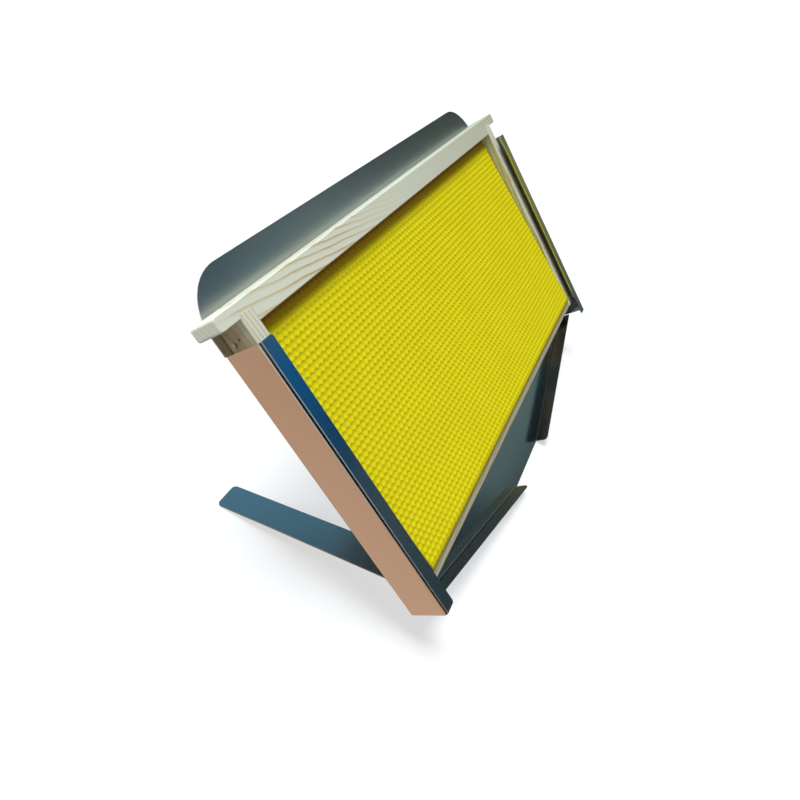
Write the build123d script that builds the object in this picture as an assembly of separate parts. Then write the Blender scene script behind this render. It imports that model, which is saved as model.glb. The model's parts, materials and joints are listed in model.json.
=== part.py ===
from build123d import *
import math
import os

# Hive frame (wood), millimetres
frame_width = 448.0
frame_height = 233.8
top_bar_depth = 23.0
top_bar_thickness = 17.0
lug_length = 17.0
lug_thickness = 9.8
lug_corner_radius = 2.0
end_bar_depth = 24.0
end_bar_thickness = 12.0
housing_depth = 2.5
bottom_bar_thickness = 11.8
tongue_depth = 16.0
eased_edge = 0.6
groove_depth = 6.0
groove_play = 1.4

# Foundation sheet
sheet_thickness = 2.2
sheet_side_gap = 1.0
sheet_overlap = 3.3
sheet_clearance = 0.2

# Frame wire, tacks and nails
wire_diameter = 0.5
wire_sides = 6
wire_loops = 2
first_wire_gap = 3.0
last_wire_gap = 37.0
wire_hole_diameter = 2.0
wire_bend_radius = 1.0
wire_offset = 0.5
wire_clearance = 0.15
tack_offset = 6.0
tack_drop = 1.8
tack_shank_diameter = 1.2
tack_head_diameter = 3.2
tack_head_thickness = 0.8
tack_length = 9.0
nail_shank_diameter = 1.6
nail_head_diameter = 4.0
nail_head_thickness = 0.9
nail_length = 26.0
nail_gap = 0.6
nail_clearance = 0.05

# Folded case (steel sheet)
gauge = 1.0
bend_radius = 1.5
rear_clearance = 0.3
front_clearance = 6.7
side_clearance = 5.0
seat_clearance = 0.3
lug_gap = 15.4
lip_width = 12.3
lip_top_radius = 2.0
lip_bottom_radius = 2.0
wall_drop = 16.2
panel_above_frame = 24.3
panel_corner_radius = 35.5
gutter_fall = 49.0
spout_width = 73.0
flange_height = 13.0
flange_corner_radius = 4.0
fold_web = 8.0
corner_relief = 3.0
seat_tab_inset = 80.0
seat_tab_width = 30.0
seat_tab_depth = 20.0
seat_tab_corner_radius = 4.0
seat_slit = 1.0

# Rear legs (steel strap)
leg_inset = 31.5
leg_root_width = 28.7
leg_tip_width = 23.5
leg_length = 181.0
leg_angle = 35.6
leg_root_drop = 11.2
leg_foot_length = 35.0
leg_corner_radius = 4.0

# Worked out from the sizes above. The stand is drawn upright: X to the right, Y into the panel
# from its front face, Z up along the panel from the seat.
frame_depth = max(end_bar_depth, top_bar_depth)
channel_width = frame_width + 2 * side_clearance
channel_depth = rear_clearance + frame_depth + front_clearance
case_half = channel_width / 2 + gauge
middle_radius = bend_radius + gauge / 2
lip_middle = -(channel_depth + gauge / 2)
frame_half = frame_width / 2
lug_end = frame_half + lug_length
bar_inner = frame_half - end_bar_thickness
bar_middle = frame_half - end_bar_thickness / 2
frame_bottom = seat_clearance
frame_top = frame_bottom + frame_height
frame_middle = -(rear_clearance + frame_depth / 2)
frame_front = frame_middle - end_bar_depth / 2
lug_under = frame_top - lug_thickness
bar_under = frame_top - top_bar_thickness
end_bar_top = lug_under + housing_depth
bottom_bar_top = frame_bottom + bottom_bar_thickness
wall_top = lug_under - lug_gap
panel_top_edge = frame_top + panel_above_frame
spout_drop = wall_drop + gutter_fall
wire_runs = 2 * wire_loops
first_wire = bar_under - first_wire_gap
last_wire = bottom_bar_top + last_wire_gap
wire_plane = frame_middle + wire_offset
nail_offset = tack_offset - (tack_shank_diameter + nail_shank_diameter) / 2 - nail_gap


def block(x0, x1, y0, y1, z0, z1):
    solid = Box(x1 - x0, y1 - y0, z1 - z0, align=(Align.MIN, Align.MIN, Align.MIN))
    return Pos(x0, y0, z0) * solid


def rod(start, direction, diameter, length):
    return Plane(origin=start, z_dir=direction) * Cylinder(
        diameter / 2, length, align=(Align.CENTER, Align.CENTER, Align.MIN)
    )


def near(edges, point, reach):
    target = Vector(*point)
    return [edge for edge in edges if (edge.center() - target).length < reach]


# Folded case: one sheet with two channels, a panel with round corners, and a gutter

def side_channels():
    wall = channel_width / 2 + gauge / 2
    panel = gauge / 2
    lip_edge = case_half - lip_width
    path = FilletPolyline(
        (-lip_edge, lip_middle), (-wall, lip_middle), (-wall, panel),
        (wall, panel), (wall, lip_middle), (lip_edge, lip_middle),
        radius=middle_radius,
    )
    return Pos(0, 0, -wall_drop) * extrude(trace(path, gauge), wall_top + wall_drop)


def panel_head():
    outline = Polyline(
        (-case_half, wall_top), (-case_half, panel_top_edge), (case_half, panel_top_edge), (case_half, wall_top),
        close=True,
    )
    face = make_face(outline)
    corners = face.vertices().sort_by(Axis.Y)[-2:]
    face = fillet(corners, panel_corner_radius)
    return Plane.XZ.offset(-gauge) * extrude(face, gauge)


def gutter():
    # The right-hand fold: its outer line runs from the wall's foot down to the spout's corner.
    foot = Vector(case_half, 0, -wall_drop)
    corner = Vector(spout_width / 2, 0, -spout_drop)
    along = (corner - foot).normalized()
    inward = Vector(along.Z, 0, -along.X)
    section = trace(
        FilletPolyline((fold_web, gauge / 2), (gauge / 2, gauge / 2), (gauge / 2, -flange_height),
                       radius=middle_radius),
        gauge,
    )
    run = (corner - foot).length - corner_relief
    fold = Plane(origin=foot + along * corner_relief, x_dir=inward, z_dir=along) * extrude(section, run)
    # The floor reaches halfway into both folds' flat webs.
    step = fold_web / 2
    web = corner + inward * step
    half = [(foot.X - step / abs(inward.X), foot.Z), (web.X, web.Z), (corner.X, corner.Z)]
    outline = Polyline(*half, *[(-x, z) for x, z in reversed(half)], close=True)
    floor = Plane.XZ.offset(-gauge) * extrude(make_face(outline), gauge)
    return floor + fold + mirror(fold, about=Plane.YZ)


def seat_tab(centre):
    path = FilletPolyline((gauge / 2, -fold_web), (gauge / 2, -gauge / 2), (-seat_tab_depth, -gauge / 2),
                          radius=middle_radius)
    blank = Plane.YZ.offset(-seat_tab_width / 2) * extrude(trace(path, gauge), seat_tab_width)
    tips = blank.edges().filter_by(Axis.Z).sort_by(Axis.Y)[:2]
    return Pos(centre, 0, 0) * fillet(tips, seat_tab_corner_radius)


def seat_window(centre):
    half = seat_tab_width / 2 + seat_slit
    return block(centre - half, centre + half, 0, gauge, -(bend_radius + gauge), seat_tab_depth)


def folded_case():
    case = side_channels() + panel_head() + gutter()
    for side in (-1, 1):
        centre = side * (case_half - seat_tab_inset)
        case = case - seat_window(centre)
        case = case + seat_tab(centre)
        edge_x = side * (case_half - lip_width)
        case = fillet(near(case.edges(), (edge_x, lip_middle, -wall_drop), gauge), lip_bottom_radius)
        case = fillet(near(case.edges(), (edge_x, lip_middle, wall_top), gauge), lip_top_radius)
        flange_tip = (side * spout_width / 2, -flange_height, -spout_drop)
        case = fillet(near(case.edges().filter_by(GeomType.LINE), flange_tip, gauge), flange_corner_radius)
    return case


# Rear legs: a foot flat on the panel's back, and a tapered strap

def leg_line():
    angle = math.radians(leg_angle)
    root = Vector(0, gauge + gauge / 2, -leg_root_drop)
    reach = Vector(0, math.cos(angle), math.sin(angle))
    return root, reach, root + reach * leg_length


def leg():
    root, reach, tip = leg_line()
    path = FilletPolyline((root.Y, root.Z + leg_foot_length), (root.Y, root.Z), (tip.Y, tip.Z),
                          radius=middle_radius)
    strap = Plane.YZ.offset(-leg_root_width / 2) * extrude(trace(path, gauge), leg_root_width)
    # Waste beside the taper, drawn in the strap's own plane: X across the strap, Y along it
    plane = Plane(origin=root, x_dir=(1, 0, 0), z_dir=Vector(1, 0, 0).cross(reach))
    wide = leg_root_width / 2
    narrow = leg_tip_width / 2
    end = leg_length + gauge
    waste = make_face(Polyline((wide, 0), (wide, end), (narrow, end), (narrow, leg_length), close=True))
    cutter = plane.offset(-gauge) * extrude(waste, 2 * gauge)
    strap = strap - cutter - mirror(cutter, about=Plane.YZ)
    across = [edge for edge in strap.edges() if abs(edge.length - gauge) < gauge / 100]
    foot_corners = [edge for edge in across if edge.center().Z > root.Z + leg_foot_length - gauge / 2
                    and edge.center().Y < root.Y + gauge]
    tip_corners = [edge for edge in across if (edge.center() - tip).length < leg_root_width]
    return fillet(foot_corners + tip_corners, leg_corner_radius)


# Hive frame

def nail(head_point, direction):
    way = Vector(*direction)
    head = rod(head_point, way, nail_head_diameter, nail_head_thickness)
    return head + rod(head_point, way, nail_shank_diameter, nail_length)


def nail_hole(head_point, direction):
    way = Vector(*direction)
    head = rod(head_point, way, nail_head_diameter + 2 * nail_clearance, nail_head_thickness)
    return head + rod(head_point, way, nail_shank_diameter + 2 * nail_clearance, nail_length + nail_clearance)


def nail_places(level):
    return [(x, frame_middle + y, level) for x in (-bar_middle, bar_middle) for y in (-nail_offset, nail_offset)]


def with_nail_holes(solid, places, direction):
    for place in places:
        solid = solid - nail_hole(place, direction)
    return solid


def nail_group(places, direction):
    return Compound(children=[nail(place, direction) for place in places])


top_nail_places = nail_places(frame_top)
bottom_nail_places = nail_places(frame_bottom)


def top_bar():
    half = [(lug_end, frame_top), (lug_end, lug_under), (frame_half, lug_under), (frame_half, end_bar_top),
            (bar_inner, end_bar_top), (bar_inner, bar_under)]
    face = make_face(Polyline(*half, *[(-x, z) for x, z in reversed(half)], close=True))
    lug_corners = [corner for corner in face.vertices() if abs(corner.X) > lug_end - eased_edge]
    face = fillet(lug_corners, lug_corner_radius)
    bar = Plane.XZ.offset(-(frame_middle + top_bar_depth / 2)) * extrude(face, top_bar_depth)
    long_edges = [edge for edge in bar.edges().filter_by(Axis.X) if edge.length > bar_inner]
    bar = chamfer(long_edges, eased_edge)
    sheet_middle = groove_middle()
    groove_half = sheet_thickness / 2 + groove_play
    groove = block(-bar_inner, bar_inner, sheet_middle - groove_half, sheet_middle + groove_half,
                   bar_under, bar_under + groove_depth)
    return with_nail_holes(bar - groove, top_nail_places, (0, 0, -1))


def wire_levels():
    pitch = (first_wire - last_wire) / (wire_runs - 1)
    return [first_wire - run * pitch for run in range(wire_runs)]


def tack_points():
    back = frame_middle + tack_offset
    return [(-frame_half, back, first_wire - tack_drop), (-frame_half, back, last_wire + tack_drop)]


def end_bar(side):
    inner = min(side * bar_inner, side * frame_half)
    outer = max(side * bar_inner, side * frame_half)
    bar = block(inner, outer, frame_front, frame_front + end_bar_depth, frame_bottom, end_bar_top)
    bar = chamfer(bar.edges().filter_by(Axis.Z), eased_edge)
    bar = bar - block(inner, outer, frame_middle - tongue_depth / 2, frame_middle + tongue_depth / 2,
                      frame_bottom, bottom_bar_top)
    for level in wire_levels():
        bar = bar - rod((inner, wire_plane, level), (1, 0, 0), wire_hole_diameter, outer - inner)
    if side < 0:
        for point in tack_points():
            bar = bar - rod(point, (1, 0, 0), tack_shank_diameter + 2 * nail_clearance, tack_length)
    bar = with_nail_holes(bar, top_nail_places, (0, 0, -1))
    return with_nail_holes(bar, bottom_nail_places, (0, 0, 1))


def bottom_bar():
    wide = block(-bar_inner, bar_inner, frame_front, frame_front + end_bar_depth, frame_bottom, bottom_bar_top)
    wide = chamfer(wide.edges().filter_by(Axis.X), eased_edge)
    tongue = block(-frame_half, frame_half, frame_middle - tongue_depth / 2, frame_middle + tongue_depth / 2,
                   frame_bottom, bottom_bar_top)
    return with_nail_holes(wide + tongue, bottom_nail_places, (0, 0, 1))


# The sheet leans on the first wire under the top bar's groove and on the bottom bar's front edge.

def sheet_back():
    top = Vector(0, wire_plane - wire_diameter / 2 - sheet_clearance, bar_under)
    foot = Vector(0, frame_front - sheet_clearance, bottom_bar_top - eased_edge)
    return top, (top - foot).normalized(), (top - foot).length


def groove_middle():
    top, up, length = sheet_back()
    return top.Y - sheet_thickness / 2 + up.Y / up.Z * groove_depth / 2


def foundation_sheet():
    top, up, length = sheet_back()
    rise = groove_depth - 2 * sheet_clearance
    width = 2 * (bar_inner - sheet_side_gap)
    slab = Box(width, sheet_thickness, length + rise + sheet_overlap,
               align=(Align.CENTER, Align.MAX, Align.MAX))
    return Plane(origin=top + up * rise, x_dir=(1, 0, 0), z_dir=up) * slab


def frame_wire():
    out = frame_half + wire_diameter / 2 + wire_clearance
    side = -1
    points = []
    for level in wire_levels():
        points.append((side * out, wire_plane, level))
        side = -side
        points.append((side * out, wire_plane, level))
    first, last = tack_points()
    beside = (tack_shank_diameter + wire_diameter) / 2 + wire_clearance
    start = (-out, first[1] - beside, first[2])
    finish = (-out, last[1] - beside, last[2])
    path = FilletPolyline(start, *points, finish, radius=wire_bend_radius)
    section = Plane(origin=path @ 0, z_dir=path % 0) * RegularPolygon(wire_diameter / 2, wire_sides)
    return sweep(section, path=path)


def wire_tacks():
    standoff = wire_diameter + 2 * wire_clearance
    tacks = []
    for x, y, z in tack_points():
        shank = rod((x - standoff, y, z), (1, 0, 0), tack_shank_diameter, tack_length + standoff - nail_clearance)
        head = rod((x - standoff - tack_head_thickness, y, z), (1, 0, 0), tack_head_diameter, tack_head_thickness)
        tacks.append(shank + head)
    return Compound(children=tacks)


# The stand leans back until the spout's edge and both leg tips meet the ground.

def stance():
    root, reach, tip = leg_line()
    under = tip + Vector(0, reach.Z, -reach.Y) * (gauge / 2)
    spout_edge = Vector(0, gauge, -spout_drop)
    return math.degrees(math.atan2(under.Z - spout_edge.Z, under.Y - spout_edge.Y)), spout_edge


right_leg = Pos(case_half - leg_inset, 0, 0) * leg()
pieces = {
    "folded_case": folded_case(),
    "left_leg": mirror(right_leg, about=Plane.YZ),
    "right_leg": right_leg,
    "top_bar": top_bar(),
    "left_end_bar": end_bar(-1),
    "right_end_bar": end_bar(1),
    "bottom_bar": bottom_bar(),
    "foundation_sheet": foundation_sheet(),
    "frame_wire": frame_wire(),
    "wire_tacks": wire_tacks(),
    "top_nails": nail_group(top_nail_places, (0, 0, -1)),
    "bottom_nails": nail_group(bottom_nail_places, (0, 0, 1)),
}

lean, spout_edge = stance()
leaning = {name: Rot(X=-lean) * Pos(0, -spout_edge.Y, -spout_edge.Z) * piece for name, piece in pieces.items()}
boxes = [piece.bounding_box() for piece in leaning.values()]
middle_y = (min(box.min.Y for box in boxes) + max(box.max.Y for box in boxes)) / 2

os.makedirs("parts", exist_ok=True)
for name, piece in leaning.items():
    export_step(Pos(0, -middle_y, 0) * piece, f"parts/{name}.step")
    print(name, len(piece.solids()), round(piece.volume, 1))
print("lean from upright", round(lean, 4), "shift", round(-middle_y, 4))
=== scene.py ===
import bmesh
import bpy
import json
import math
from mathutils import Matrix, Vector

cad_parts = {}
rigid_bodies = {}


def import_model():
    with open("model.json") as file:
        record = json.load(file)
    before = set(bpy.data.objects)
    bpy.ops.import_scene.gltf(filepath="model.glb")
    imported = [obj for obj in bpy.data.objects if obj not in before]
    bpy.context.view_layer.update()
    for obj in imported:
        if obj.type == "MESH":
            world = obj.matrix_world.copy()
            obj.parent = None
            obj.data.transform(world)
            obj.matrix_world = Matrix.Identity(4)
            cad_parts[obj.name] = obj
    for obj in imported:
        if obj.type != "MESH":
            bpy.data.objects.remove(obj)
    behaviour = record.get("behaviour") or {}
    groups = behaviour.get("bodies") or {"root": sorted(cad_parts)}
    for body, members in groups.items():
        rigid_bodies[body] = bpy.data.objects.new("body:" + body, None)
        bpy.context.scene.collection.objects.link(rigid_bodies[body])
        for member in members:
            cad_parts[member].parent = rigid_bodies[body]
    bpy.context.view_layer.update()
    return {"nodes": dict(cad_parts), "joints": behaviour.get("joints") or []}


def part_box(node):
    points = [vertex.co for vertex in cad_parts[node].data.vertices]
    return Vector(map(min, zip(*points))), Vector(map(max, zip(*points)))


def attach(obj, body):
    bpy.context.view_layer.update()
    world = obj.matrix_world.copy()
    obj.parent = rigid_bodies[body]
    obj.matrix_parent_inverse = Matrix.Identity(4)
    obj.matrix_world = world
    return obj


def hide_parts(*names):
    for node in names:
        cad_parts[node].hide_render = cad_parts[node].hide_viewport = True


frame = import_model()
nodes = frame["nodes"]
mm = 0.001

slideWay = Vector(frame["joints"][0]["axis"])  # up along the leaning panel
lean = math.atan2(slideWay.y, slideWay.z)
stand, combFrame = frame["joints"][0]["parent"], frame["joints"][0]["child"]
print("frame loaded:", len(nodes), "nodes, leaning back", round(math.degrees(lean), 2))


# shader maths written as plain expressions
class Pin:
    def __init__(self, tree, socket=None):
        self.tree = tree
        self.socket = socket

    def node(self, kind, settings=None, sockets=None, out=0):
        made = self.tree.nodes.new(kind)
        for name, value in (settings or {}).items():
            if name == "stops":
                setStops(made.color_ramp, value)
            else:
                setattr(made, name, value)
        for key, value in (sockets or {}).items():
            plug(self.tree, findSocket(made.inputs, key), value)
        return Pin(self.tree, findSocket(made.outputs, out))

    def maths(self, operation, first, second=0.0):
        return self.node("ShaderNodeMath", {"operation": operation}, {0: first, 1: second})

    def __add__(self, other):
        return self.maths("ADD", self, other)

    def __radd__(self, other):
        return self.maths("ADD", other, self)

    def __sub__(self, other):
        return self.maths("SUBTRACT", self, other)

    def __rsub__(self, other):
        return self.maths("SUBTRACT", other, self)

    def __mul__(self, other):
        return self.maths("MULTIPLY", self, other)

    def __rmul__(self, other):
        return self.maths("MULTIPLY", other, self)

    def __truediv__(self, other):
        return self.maths("DIVIDE", self, other)

    def __rtruediv__(self, other):
        return self.maths("DIVIDE", other, self)


def findSocket(sockets, key):
    if isinstance(key, int):
        return sockets[key]
    return next(s for s in sockets if key in (s.identifier, s.name) and s.enabled)


def plug(tree, target, value):
    if isinstance(value, Pin):
        tree.links.new(value.socket, target)
    else:
        target.default_value = value


def setStops(ramp, stops):
    while len(ramp.elements) < len(stops):
        ramp.elements.new(0.5)
    for element, (place, tone) in zip(ramp.elements, stops):
        element.position = place
        element.color = (tone, tone, tone, 1)


def newFinish(name):
    material = bpy.data.materials.new(name)
    material.use_nodes = True
    return material, Pin(material.node_tree)


def setSurface(material, sockets):
    shader = material.node_tree.nodes["Principled BSDF"]
    for key, value in sockets.items():
        plug(material.node_tree, shader.inputs[key], value)
    return material


def mixColour(factor, first, second):
    sockets = {"Factor_Float": factor, "A_Color": first, "B_Color": second}
    return factor.node("ShaderNodeMix", {"data_type": "RGBA"}, sockets, "Result_Color")


def noise(place, scale, detail=3.0, rough=0.5):
    sockets = {"Vector": place, "Scale": scale, "Detail": detail, "Roughness": rough}
    return place.node("ShaderNodeTexNoise", None, sockets)


def objectPlace(pin):
    return pin.node("ShaderNodeTexCoord", None, None, "Object")


def axesOf(place):
    apart = place.node("ShaderNodeSeparateXYZ", None, {"Vector": place}).socket.node
    return [Pin(place.tree, socket) for socket in apart.outputs]


def turnedPlace(pin, stretch=(1, 1, 1)):  # object coordinates turned so that Z runs up the panel
    turned = pin.node("ShaderNodeMapping", None, {"Vector": objectPlace(pin), "Rotation": (lean, 0, 0)})
    return pin.node("ShaderNodeMapping", None, {"Vector": turned, "Scale": stretch})


def bumped(pin, height, strength, distance):
    sockets = {"Strength": strength, "Distance": distance, "Height": height}
    return pin.node("ShaderNodeBump", None, sockets)


def between(pin, low, high):  # 0 at low, 1 at high, held level beyond them
    return pin.maths("MINIMUM", pin.maths("MAXIMUM", (pin - low) / (high - low), 0.0), 1.0)


def centred(cloud):  # noise swings about one half
    return cloud - 0.5


def headOf(node):  # a node's highest point up the panel, in turned coordinates
    turn = Matrix.Rotation(lean, 3, "X")
    return max((turn @ vert.co).z for vert in nodes[node].data.vertices)


def nearHead(place, node, below):  # rises from 0 to 1 between two distances below the node's head
    head = headOf(node)
    start, full = below
    return between(axesOf(place)[2], head - start, head - full)


# satin stainless sheet: cloudy rolling finish, faint smears, hazed at the head where hands reach in
caseSteel = {
    "tone": (0.7, 0.715, 0.715, 1),
    "smear": (0.63, 0.65, 0.655, 1), "smearStretch": (1, 3, 3), "smearScale": 12.0,
    "rough": 0.2, "cloud": 0.045, "cloudScale": 22.0, "cloudDetail": 4.0, "cloudRough": 0.6,
    "wave": 0.3 * mm, "waveScale": 9.0, "waveDetail": 1.0, "waveStrength": 0.2,
    "haze": 0.11, "hazed": (70 * mm, 35 * mm),
}


def steelFinish():
    steel = caseSteel
    material, pin = newFinish("satinSteel")
    place = turnedPlace(pin)
    cloud = noise(place, steel["cloudScale"], steel["cloudDetail"], steel["cloudRough"])
    smear = noise(turnedPlace(pin, steel["smearStretch"]), steel["smearScale"])
    tone = mixColour(smear, steel["tone"], steel["smear"])
    haze = nearHead(place, "folded_case", steel["hazed"]) * steel["haze"]
    rough = steel["rough"] + centred(cloud) * steel["cloud"] + haze
    swell = noise(place, steel["waveScale"], steel["waveDetail"])
    wave = bumped(pin, swell, steel["waveStrength"], steel["wave"])
    return setSurface(material, {
        "Base Color": tone, "Metallic": 1.0, "Roughness": rough, "Normal": wave,
    })


# planed pine: growth rings about a far, leaning pith, with fine fibres along the bar
pine = {
    "warp": 2.6 * mm, "warpScale": 6.0, "drift": 2.2 * mm, "driftScale": 18.0, "bendDetail": 1.0,
    "ripple": 0.7 * mm, "rippleAlong": 75, "rippleAcross": 190, "rippleDetail": 2.0,
    "ringLine": [(0.0, 0.0), (0.52, 0.04), (0.72, 0.35), (0.83, 1.0), (0.91, 0.9), (1.0, 0.0)],
    "lineEnds": [(0.33, 0.45), (0.6, 1.0)], "lineEndScale": 13.0, "lineEndDetail": 2.0,
    "fibreAlong": 9, "fibreAcross": 420, "fibreScale": 3.0, "fibreFrom": 0.4, "fibreTint": 0.3,
    "rough": 0.62, "lineSheen": 0.1, "lineHeight": 0.4, "grain": 0.3, "grainDepth": 0.2 * mm, "specular": 0.3,
}
endPine = {
    "ring": 2.7 * mm, "early": (0.73, 0.75, 0.62, 1), "late": (0.47, 0.34, 0.15, 1),
    # painted shade on the end bars' outer faces: where it lies across and along the bar, and its dark tone
    "paintedShade": (222.6 * mm, 223.7 * mm), "paintedShadeDepth": (-11 * mm, 0.5 * mm), "shadeTone": (0.56, 0.44, 0.26, 1),
}
bars = {  # across the grain: the way to the pith, and how it drifts along the bar
    "top_bar": {"along": 0, "toPith": (0, -0.894, 0.447), "tilt": -0.065, "away": 140 * mm,
                "ring": 4.4 * mm, "start": 146.9 * mm, "crowd": 45.5, "phase": 0.74,
                "plain": (-110 * mm, 10 * mm), "plainMost": 0.85,
                "plainLug": (222 * mm, 231 * mm), "plainLugMost": 0.75,
                # painted shade: the span over which the bar darkens to the right, and its shaded tone
                "rightShadeSpan": (-150 * mm, 260 * mm), "rightShadeTone": (0.5, 0.525, 0.4, 1),
                "early": (0.735, 0.765, 0.65, 1), "late": (0.53, 0.39, 0.15, 1)},
    # painted shade: the bottom bar's wood is darkened to the shade along the sheet's foot
    "bottom_bar": {"along": 0, "toPith": (0, 0.6, 0.8), "tilt": 0.05, "away": 60 * mm, "ring": 2.7 * mm,
                   "early": (0.46, 0.42, 0.29, 1), "late": (0.3, 0.21, 0.1, 1)},
    "left_end_bar": {"along": 2, "toPith": (-0.9, 0.44, 0), "tilt": 0.02, "away": 55 * mm, **endPine},
    # the right end bar gets a paler painted shade
    "right_end_bar": {"along": 2, "toPith": (0.85, 0.53, 0), "tilt": -0.03, "away": 60 * mm, **endPine,
                      "shadeTone": (0.72, 0.7, 0.52, 1)},
}


def barMiddle(node):  # in the turned coordinates that the finishes use
    low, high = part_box(node)
    return Matrix.Rotation(lean, 3, "X") @ ((low + high) / 2)


def grainPlace(pin, bar, along, across):  # turned coordinates scaled apart along and across the bar
    return turnedPlace(pin, [along if axis == bar["along"] else across for axis in range(3)])


def pineFinish(node):
    bar = bars[node]
    material, pin = newFinish("pine_" + node)
    place = turnedPlace(pin)
    axes = axesOf(place)
    warp = centred(noise(place, pine["warpScale"], pine["bendDetail"])) * pine["warp"]
    drift = centred(noise(place, pine["driftScale"], pine["bendDetail"])) * pine["drift"]
    rippled = grainPlace(pin, bar, pine["rippleAlong"], pine["rippleAcross"])
    ripple = centred(noise(rippled, 1.0, pine["rippleDetail"])) * pine["ripple"]
    pith = barMiddle(node) + Vector(bar["toPith"]) * bar["away"]
    square = 0.0
    for axis in range(3):
        if axis != bar["along"]:
            across = axes[axis] - pith[axis]
            square = across * across + square
    reach = pin.maths("SQRT", square) + axes[bar["along"]] * bar["tilt"] + warp + drift + ripple
    count = reach / bar["ring"]
    if "crowd" in bar:  # the rings close up towards the bar's right end
        inward = bar["start"] - reach
        crowded = 1 + pin.maths("MAXIMUM", inward, 0.0) * bar["crowd"]
        count = inward / bar["ring"] * crowded + bar["phase"]
    ring = pin.maths("FRACT", count)
    line = pin.node("ShaderNodeValToRGB", {"stops": pine["ringLine"]}, {"Fac": ring})
    broken = noise(place, pine["lineEndScale"], pine["lineEndDetail"])
    fade = pin.node("ShaderNodeValToRGB", {"stops": pine["lineEnds"]}, {"Fac": broken})
    fibre = noise(grainPlace(pin, bar, pine["fibreAlong"], pine["fibreAcross"]), pine["fibreScale"])
    early = bar["early"]
    outward = pin.maths("ABSOLUTE", axes[0])
    if "plain" in bar:  # there, and on the lugs, the lines fade out; to the right, painted shade darkens and greys the wood
        fade = fade * (1 - between(axes[0], *bar["plain"]) * bar["plainMost"])
        fade = fade * (1 - between(outward, *bar["plainLug"]) * bar["plainLugMost"])
        early = mixColour(between(axes[0], *bar["rightShadeSpan"]), early, bar["rightShadeTone"])
    if "paintedShade" in bar:  # painted shade: the end bars' outer faces darkened where the channel and the lug shade them, most of all towards the back
        front, back = (barMiddle(node)[1] + depth for depth in bar["paintedShadeDepth"])
        paintedShade = between(outward, *bar["paintedShade"]) * between(axes[1], front, back)
        early = mixColour(paintedShade, early, bar["shadeTone"])
    tone = mixColour(line * fade, early, bar["late"])
    shade = mixColour((fibre - pine["fibreFrom"]) * pine["fibreTint"], tone, bar["late"])
    rough = pine["rough"] - line * pine["lineSheen"]
    grain = bumped(pin, fibre + line * pine["lineHeight"], pine["grain"], pine["grainDepth"])
    return setSurface(material, {
        "Base Color": shade, "Roughness": rough, "Normal": grain, "Specular IOR Level": pine["specular"],
    })


foundation = {
    "tone": (0.77, 0.69, 0.009, 1), "deep": (0.69, 0.6, 0.006, 1), "cloudScale": 30.0, "cloudDetail": 4.0,
    "rough": 0.45, "roughCloud": 0.12, "specular": 0.1,
    # painted shadow below the top bar: its brown tone, its reach below the sheet's head and its strength
    "paintedShadow": (0.36, 0.13, 0.004, 1), "paintedShadowReach": (18 * mm, 8 * mm), "paintedShadowMost": 0.92,
    "pitch": 5.505 * mm, "wall": 0.85 * mm, "floor": 0.85 * mm, "rhomb": 0.38 * mm,
    "sideEdge": 0.8 * mm, "footEdge": 3.2 * mm, "headEdge": 0.8 * mm, "edgeDepth": 0.55 * mm,
    "levelWithin": 0.01 * mm, "offMiddle": 0.1 * mm, "merge": 0.02 * mm, "cutMerge": 0.001 * mm, "spare": 2,
}


def foundationFinish():
    material, pin = newFinish("yellowFoundation")
    place = turnedPlace(pin)
    cloud = noise(place, foundation["cloudScale"], foundation["cloudDetail"])
    tone = mixColour(cloud, foundation["tone"], foundation["deep"])
    # painted shadow: a brown tone below the top bar's groove, where the bar's shadow falls on the sheet
    paintedShadow = nearHead(place, "foundation_sheet", foundation["paintedShadowReach"]) * foundation["paintedShadowMost"]
    tone = mixColour(paintedShadow, tone, foundation["paintedShadow"])
    rough = foundation["rough"] + cloud * foundation["roughCloud"]
    return setSurface(material, {
        "Base Color": tone, "Roughness": rough, "Specular IOR Level": foundation["specular"],
    })


fixingSteel = {
    "bright": (0.66, 0.66, 0.65, 1), "dull": (0.45, 0.44, 0.42, 1), "cloudScale": 400.0,
    "metal": 0.6, "rough": 0.28, "roughCloud": 0.2,
}


def fastenerFinish():
    material, pin = newFinish("brightSteel")
    cloud = noise(turnedPlace(pin), fixingSteel["cloudScale"])
    tone = mixColour(cloud, fixingSteel["bright"], fixingSteel["dull"])
    rough = fixingSteel["rough"] + cloud * fixingSteel["roughCloud"]
    return setSurface(material, {"Base Color": tone, "Metallic": fixingSteel["metal"], "Roughness": rough})


# modelling helpers
def only(*pieces):
    bpy.ops.object.select_all(action="DESELECT")
    for piece in pieces:
        piece.select_set(True)
    bpy.context.view_layer.objects.active = pieces[0]


def edit(piece, level="VERT"):
    only(piece)
    bpy.ops.object.mode_set(mode="EDIT")
    bpy.ops.mesh.select_mode(type=level)
    bpy.ops.mesh.select_all(action="SELECT")


def endEdit():
    bpy.ops.object.mode_set(mode="OBJECT")


def chooseVerts(piece, test):
    bpy.ops.mesh.select_all(action="DESELECT")
    mesh = bmesh.from_edit_mesh(piece.data)
    for vert in mesh.verts:
        vert.select_set(test(vert.co))
    bmesh.update_edit_mesh(piece.data)


def modify(piece, kind, **settings):
    only(piece)
    bpy.ops.object.modifier_add(type=kind)
    modifier = piece.modifiers[-1]
    for name, value in settings.items():
        setattr(modifier, name, value)
    bpy.ops.object.modifier_apply(modifier=modifier.name)


def settle(piece, body, slot, material, *replaced):
    piece.data.materials.clear()
    piece.data.materials.append(material)
    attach(piece, body)
    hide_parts(*replaced)


copying = {"merge": 0.001 * mm, "flatWithin": 0.2, "sharp": 40, "smooth": 35}  # angles in degrees


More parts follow.
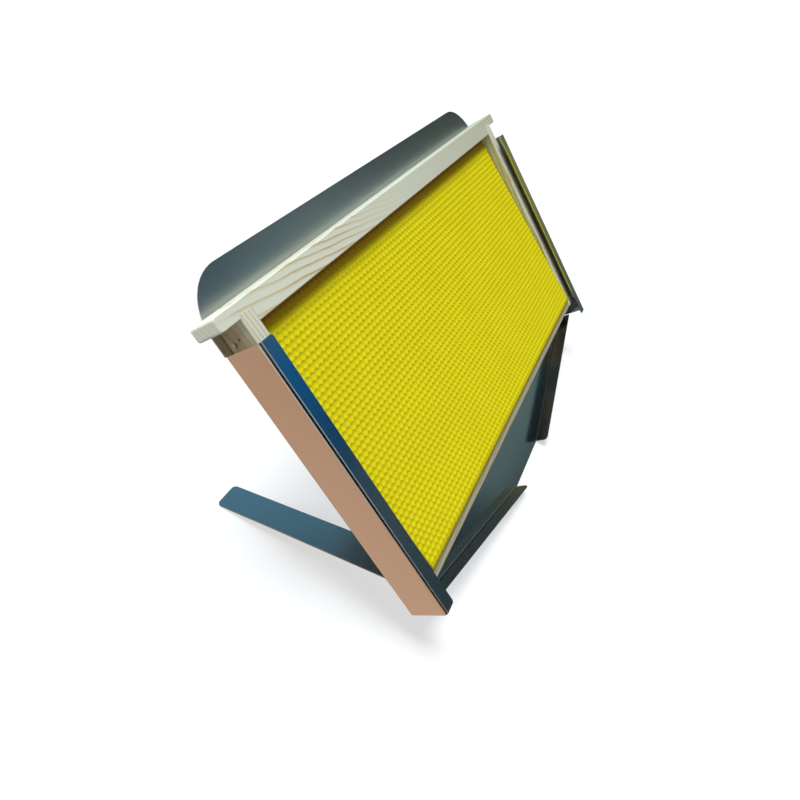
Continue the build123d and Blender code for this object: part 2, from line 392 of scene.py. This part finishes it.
# a merged copy of a CAD node with eased edges (width and segments) and smooth bends
def easedCopy(node, name, ease=None, smooth=copying["smooth"]):
    piece = bpy.data.objects.new(name, nodes[node].data.copy())
    bpy.context.scene.collection.objects.link(piece)
    edit(piece)
    bpy.ops.mesh.remove_doubles(threshold=copying["merge"])
    bpy.ops.mesh.dissolve_limited(angle_limit=math.radians(copying["flatWithin"]))
    endEdit()
    if ease:
        width, segments = ease
        modify(piece, "BEVEL", width=width, segments=segments, limit_method="ANGLE",
               angle_limit=math.radians(copying["sharp"]))
    only(piece)
    bpy.ops.object.shade_smooth_by_angle(angle=math.radians(smooth))
    modify(piece, "WEIGHTED_NORMAL", weight=100, keep_sharp=True)
    return piece


standPieces = {"folded_case": "foldedCase", "left_leg": "leftLeg", "right_leg": "rightLeg"}
standEase = (0.12 * mm, 2)


def buildStand():
    material = steelFinish()
    for node, name in standPieces.items():
        settle(easedCopy(node, name, standEase), stand, "stand_steel", material, node)
    print("stand dressed:", ", ".join(standPieces.values()))


woodPieces = {
    "top_bar": "topBar", "left_end_bar": "leftEndBar",
    "right_end_bar": "rightEndBar", "bottom_bar": "bottomBar",
}
woodEase = (0.55 * mm, 3)


def buildWood():
    for node, name in woodPieces.items():
        settle(easedCopy(node, name, woodEase), combFrame, "frame_wood", pineFinish(node), node)
    print("wood dressed:", ", ".join(woodPieces.values()))


fixings = {"wire_tacks": "wireTacks", "top_nails": "topNails", "bottom_nails": "bottomNails"}
fixingEase = (0.25 * mm, 3)
wireSmooth = 70  # rounds off the wire's six sides


def buildFixings():
    material = fastenerFinish()
    for node, name in fixings.items():
        settle(easedCopy(node, name, fixingEase), combFrame, "fastener_steel", material, node)
    wire = easedCopy("frame_wire", "frameWire", smooth=wireSmooth)
    settle(wire, combFrame, "fastener_steel", material, "frame_wire")
    print("fixings dressed:", ", ".join(fixings.values()), "and frameWire")


# the foundation's place: flat X across, Y up the sheet, Z out of its front
def sheetPlace():
    mesh = nodes["foundation_sheet"].data
    face = max(mesh.polygons, key=lambda polygon: polygon.area * (polygon.normal.y < 0))
    out = face.normal.copy()
    across = Vector((1, 0, 0))
    up = out.cross(across)
    spans = []
    for way in (across, up, out):
        reach = [vert.co.dot(way) for vert in mesh.vertices]
        spans.append((min(reach), max(reach)))
    turn = Matrix((across, up, out)).transposed().to_4x4()
    middle = [(low + high) / 2 for low, high in spans[:2]] + [spans[2][1]]
    size = [high - low for low, high in spans]
    return turn @ Matrix.Translation(middle), size


def raisedCorner(place):  # every other floor corner comes up, so that three rhombs meet in the middle
    turn = round(math.degrees(math.atan2(place.y, place.x))) % 120
    onFloor = abs(place.z + foundation["floor"]) < foundation["levelWithin"]
    return onFloor and place.xy.length > foundation["offMiddle"] and turn == 90


def combCells(width, length):
    pitch, corner = foundation["pitch"], foundation["pitch"] / math.sqrt(3)
    rowPair = corner * 3
    bpy.ops.object.select_all(action="DESELECT")
    bpy.ops.mesh.primitive_circle_add(vertices=6, radius=corner, fill_type="NGON")
    piece = bpy.context.object
    edit(piece, "FACE")
    bpy.ops.mesh.inset(thickness=foundation["wall"], depth=-foundation["floor"])
    bpy.ops.mesh.poke(offset=-foundation["rhomb"])
    bpy.ops.mesh.select_mode(type="VERT")
    chooseVerts(piece, raisedCorner)
    bpy.ops.transform.translate(value=(0, 0, foundation["rhomb"]))
    bpy.ops.mesh.select_all(action="SELECT")
    bpy.ops.mesh.duplicate()
    bpy.ops.transform.translate(value=(pitch / 2, rowPair / 2, 0))
    endEdit()
    # both counts are for one side of the middle
    columns = math.ceil(width / pitch / 2) + foundation["spare"]
    rows = math.ceil(length / rowPair / 2) + foundation["spare"]
    modify(piece, "ARRAY", count=2 * columns, use_relative_offset=False, use_constant_offset=True,
           constant_offset_displace=(pitch, 0, 0))
    modify(piece, "ARRAY", count=2 * rows, use_relative_offset=False, use_constant_offset=True,
           constant_offset_displace=(0, rowPair, 0))
    edit(piece)
    bpy.ops.mesh.remove_doubles(threshold=foundation["merge"])
    bpy.ops.mesh.select_all(action="SELECT")
    bpy.ops.transform.translate(value=(-columns * pitch, -rows * rowPair, 0))
    endEdit()
    return piece


def trimCells(piece, width, length, rimLevel):
    side, foot, head = (foundation[edge] for edge in ("sideEdge", "footEdge", "headEdge"))
    cuts = (
        ((width / 2 - side, 0, 0), (1, 0, 0)), ((side - width / 2, 0, 0), (-1, 0, 0)),
        ((0, length / 2 - head, 0), (0, 1, 0)), ((0, foot - length / 2, 0), (0, -1, 0)),
    )
    edit(piece)
    for place, way in cuts:
        bpy.ops.mesh.select_all(action="SELECT")
        bpy.ops.mesh.bisect(plane_co=place, plane_no=way, clear_outer=True, threshold=foundation["cutMerge"])
    # a plain rim: the cut edge is drawn out to the sheet's outline and laid flat
    chooseRim(piece)
    bpy.ops.mesh.extrude_region_move()
    shrink = (width - 2 * side, length - foot - head)
    middle = (0, (foot - head) / 2, rimLevel)
    bpy.ops.transform.resize(value=(width / shrink[0], length / shrink[1], 0), center_override=middle)
    bpy.ops.transform.translate(value=(0, (head - foot) / 2, 0))
    endEdit()


def chooseRim(piece):
    bpy.ops.mesh.select_mode(type="EDGE")
    bpy.ops.mesh.select_all(action="DESELECT")
    mesh = bmesh.from_edit_mesh(piece.data)
    for edge in mesh.edges:
        edge.select_set(edge.is_boundary)
    bmesh.update_edit_mesh(piece.data)


def buildFoundation():
    place, (width, length, thickness) = sheetPlace()
    front = combCells(width, length)
    back = front.copy()
    back.data = front.data.copy()
    bpy.context.scene.collection.objects.link(back)
    edit(back)
    # the back's cells lie between the front's: turned over and moved on by one corner
    bpy.ops.transform.rotate(value=math.pi, orient_axis="X", center_override=(0, 0, -thickness / 2))
    bpy.ops.transform.translate(value=(0, foundation["pitch"] / math.sqrt(3), 0))
    endEdit()
    trimCells(front, width, length, -foundation["edgeDepth"])
    trimCells(back, width, length, foundation["edgeDepth"] - thickness)
    only(front, back)
    bpy.ops.object.join()
    edit(front, "EDGE")
    chooseRim(front)
    bpy.ops.mesh.bridge_edge_loops()
    endEdit()
    front.name = "combFoundation"
    front.data.name = "combFoundation"
    front.matrix_world = place
    only(front)
    bpy.ops.object.transform_apply(location=True, rotation=True, scale=True)
    bpy.ops.object.shade_smooth()
    settle(front, combFrame, "foundation", foundationFinish(), "foundation_sheet")
    print("foundation:", len(front.data.polygons), "faces")


# camera, floor and light
photoView = {
    "place": (-0.460014, -0.076468, 0.440940), "aim": (0.0003, 0.030980, 0.0), "roll": 17.617,
    "lens": 27.616, "sensor": 36.0, "nearest": 0.01,
}


def addCamera():
    place = Vector(photoView["place"])
    look = Vector(photoView["aim"]) - place
    turn = look.to_track_quat("-Z", "Y").to_matrix().to_4x4()
    roll = Matrix.Rotation(math.radians(photoView["roll"]), 4, "Z")
    bpy.ops.object.camera_add()
    camera = bpy.context.object
    camera.name = "photoCamera"
    camera.matrix_world = Matrix.Translation(place) @ turn @ roll
    camera.data.lens = photoView["lens"]
    camera.data.sensor_width = photoView["sensor"]
    camera.data.clip_start = photoView["nearest"]
    bpy.context.scene.camera = camera


studio = {
    "floor": (0.4, 0.4, 0.4, 1), "floorGlow": (0.54, 0.54, 0.54, 1), "floorBounce": (0.28, 0.28, 0.28, 1),
    "floorReach": 30.0, "floorSides": 96, "floorRough": 0.9,
    "sky": 0.28, "cardGlow": 0.8, "boardLevel": 0.3 * mm,
}
black = (0, 0, 0, 1)


def plainlySeen(pin):  # 1 where the eye, a mirror or glass looks straight at it
    kinds = ("Is Camera Ray", "Is Glossy Ray", "Is Transmission Ray")
    straight, mirrored, through = (pin.node("ShaderNodeLightPath", None, None, kind) for kind in kinds)
    return pin.maths("MINIMUM", straight + mirrored + through, 1.0)


def addFloor():
    bpy.ops.mesh.primitive_circle_add(
        vertices=studio["floorSides"], radius=studio["floorReach"], fill_type="NGON")
    floor = bpy.context.object
    floor.name = "paleFloor"
    material, pin = newFinish("paleFloor")
    seen = plainlySeen(pin)
    setSurface(material, {
        "Base Color": mixColour(seen, studio["floorBounce"], studio["floor"]),
        "Roughness": studio["floorRough"], "Specular IOR Level": 0.0,
        "Emission Color": mixColour(seen, black, studio["floorGlow"]), "Emission Strength": 1.0,
    })
    floor.data.materials.append(material)


def addWorld():
    world = bpy.data.worlds.new("studio")
    world.use_nodes = True
    bpy.context.scene.world = world
    pin = Pin(world.node_tree)
    sky = world.node_tree.nodes["Background"]
    strength = studio["sky"] + plainlySeen(pin) * (1 - studio["sky"])
    plug(world.node_tree, sky.inputs["Strength"], strength)
    sky.inputs["Color"].default_value = (1, 1, 1, 1)


lamps = {
    "highSoftLight": {"kind": "SUN", "place": (0.02, 0.21, 0.97), "power": 3.1, "angle": 25,
                      "tone": (0.97, 1.0, 1.0)},
    "backWindow": {"kind": "AREA", "place": (0.5, 1.5, 0.9), "power": 11.5, "size": 0.9,
                   "tone": (0.36, 0.7, 1.0)},
    "sideFill": {"kind": "AREA", "place": (-1.2, 0.75, 0.75), "power": 6.0, "size": 0.7,
                 "tone": (1.0, 0.97, 0.92)},
    "rearFill": {"kind": "AREA", "place": (0.0, 1.4, 0.15), "power": 4.0, "size": 0.25,
                 "tone": (1.0, 0.9, 0.76)},
}


def addLamps():
    for name, lamp in lamps.items():
        bpy.ops.object.light_add(type=lamp["kind"], location=lamp["place"])
        light = bpy.context.object
        light.name = name
        light.rotation_euler = (-Vector(lamp["place"])).to_track_quat("-Z", "Y").to_euler()
        light.data.energy = lamp["power"]
        light.data.color = lamp["tone"]
        if lamp["kind"] == "SUN":
            light.data.angle = math.radians(lamp["angle"])
        else:
            light.data.size = lamp["size"]
        light.visible_glossy = False  # the steel mirrors the cards instead


# toned cards around the stand that only reflections show, each shaded from its low to its high end,
# or even all over where it has no high end
cards = {
    "slateCard": {"azimuth": -20, "away": 1.6, "height": (0.0, 0.85), "wide": 0.38,
                  "low": (0.19, 0.27, 0.26), "high": (0.09, 0.13, 0.125)},
    "shadeCard": {"azimuth": 2, "away": 1.6, "height": (0.0, 0.85), "wide": 0.9,
                  "low": (0.03, 0.045, 0.045), "high": (0.02, 0.03, 0.03)},
    "upperSlateCard": {"azimuth": -4, "away": 1.6, "height": (0.85, 2.4), "wide": 1.13,
                       "low": (0.012, 0.016, 0.016), "high": (0.005, 0.008, 0.008)},
    "leftSlateCard": {"azimuth": -38.5, "away": 1.6, "height": (0.0, 1.5), "wide": 0.87,
                      "low": (0.16, 0.24, 0.235), "high": (0.105, 0.16, 0.155)},
    "paleSlateCard": {"azimuth": -30, "away": 1.5, "height": (0.8, 1.3), "wide": 0.27,
                      "low": (0.36, 0.46, 0.42), "high": (0.27, 0.35, 0.33)},
    "topSlateCard": {"azimuth": -50, "away": 1.6, "height": (1.04, 2.4), "wide": 1.6,
                     "low": (0.07, 0.12, 0.13), "high": (0.02, 0.03, 0.03)},
    "blueCard": {"azimuth": -54.5, "away": 1.35, "height": (0.45, 1.04), "wide": 0.85,
                 "low": (0.0, 0.018, 0.05), "high": (0.0, 0.2, 0.52)},
    "duskCard": {"azimuth": -67, "away": 1.35, "height": (0.0, 0.45), "wide": 0.62,
                 "low": (0.02, 0.04, 0.048), "high": (0.07, 0.12, 0.145)},
    "glintCard": {"azimuth": -84, "away": 1.3, "height": (0.0, 1.6), "wide": 0.4,
                  "low": (0.06, 0.08, 0.09), "high": (0.7, 0.9, 0.95)},
    "nightCard": {"azimuth": -134.5, "away": 1.4, "height": (0.0, 1.0), "wide": 2.39,
                  "low": (0.006, 0.01, 0.012), "high": (0.007, 0.014, 0.02)},
    "greyCard": {"azimuth": -134.5, "away": 1.4, "height": (1.0, 2.4), "wide": 2.39,
                 "low": (0.16, 0.18, 0.19), "high": (0.22, 0.24, 0.25)},
    "oliveCard": {"azimuth": -15.6, "away": 0.62, "height": (0.0, 0.3), "wide": 0.4,
                  "low": (0.03, 0.1, 0.16), "high": (0.36, 0.345, 0.1)},
    "azureCard": {"azimuth": 12, "away": 1.4, "height": (0.0, 0.35), "wide": 0.62,
                  "low": (0.03, 0.17, 0.3)},
    "skyCard": {"azimuth": 45, "away": 1.5, "height": (0.98, 2.3), "wide": 2.8,
                "low": (0.17, 0.41, 0.58), "high": (0.0, 0.0, 0.0)},
    "blackCard": {"azimuth": 50, "away": 1.45, "height": (0.0, 0.98), "wide": 2.4,
                  "low": (0.006, 0.008, 0.008), "high": (0.03, 0.055, 0.065)},
}
boards = {  # the same, lying level, just above the floor unless they have a level, and shaded along X
    "tanBoard": {"along": (-0.55, -0.215), "across": (-0.5, 0.5),
                 "low": (0.64, 0.34, 0.205), "high": (0.92, 0.565, 0.37)},
    "creamBoard": {"along": (-1.3, -0.55), "across": (-0.5, 0.6), "low": (0.82, 0.77, 0.6)},
    "shadeBoard": {"along": (-0.215, 0.45), "across": (-0.12, 0.5), "low": (0.22, 0.24, 0.245)},
    "frontBoard": {"along": (-0.215, 1.3), "across": (-1.3, -0.12),
                   "low": (0.008, 0.012, 0.013), "high": (0.17, 0.235, 0.23)},
    "duskBoard": {"along": (-1.3, -0.215), "across": (-1.3, -0.5), "low": (0.005, 0.01, 0.012)},
    "greyBoard": {"along": (0.45, 1.3), "across": (-0.12, 0.5),
                  "low": (0.22, 0.25, 0.26), "high": (0.4, 0.43, 0.44)},
    "paleCeilingBoard": {"along": (-0.6, 0.6), "across": (-1.4, 0.4), "level": 2.35,
                         "low": (0.26, 0.29, 0.3)},
    "ceilingBoard": {"along": (-1.6, 2.2), "across": (-2.0, 2.0), "level": 2.4,
                     "low": (0.012, 0.02, 0.022), "high": (0.012, 0.018, 0.02)},
}


def glowPlane(name, toned, place, turn, size, axis, span):
    low, high = toned["low"], toned.get("high", toned["low"])
    bpy.ops.object.select_all(action="DESELECT")
    bpy.ops.mesh.primitive_plane_add(size=1.0, location=place, rotation=turn)
    piece = bpy.context.object
    piece.name = name
    piece.scale = (*size, 1)
    bpy.ops.object.transform_apply(location=True, rotation=True, scale=True)
    material, pin = newFinish(name)
    along = (axesOf(objectPlace(pin))[axis] - span[0]) / (span[1] - span[0])
    setSurface(material, {
        "Base Color": black, "Specular IOR Level": 0.0,
        "Emission Color": mixColour(along, (*low, 1), (*high, 1)), "Emission Strength": studio["cardGlow"],
    })
    piece.data.materials.append(material)
    for ray in ("camera", "diffuse", "transmission", "volume_scatter", "shadow"):
        setattr(piece, "visible_" + ray, False)


def addCards():
    for name, card in cards.items():
        turn = math.radians(card["azimuth"])
        foot, head = card["height"]
        place = (math.cos(turn) * card["away"], math.sin(turn) * card["away"], (foot + head) / 2)
        upright = (math.pi / 2, 0, turn - math.pi / 2)
        glowPlane(name, card, place, upright, (card["wide"], head - foot), 2, card["height"])
    for name, board in boards.items():
        (left, right), (near, far) = board["along"], board["across"]
        place = ((left + right) / 2, (near + far) / 2, board.get("level", studio["boardLevel"]))
        glowPlane(name, board, place, (0, 0, 0), (right - left, far - near), 0, board["along"])


buildStand()
buildWood()
buildFixings()
buildFoundation()
addCamera()
addFloor()
addWorld()
addLamps()
addCards()
bpy.context.scene.view_settings.view_transform = "Standard"
print("stage set")
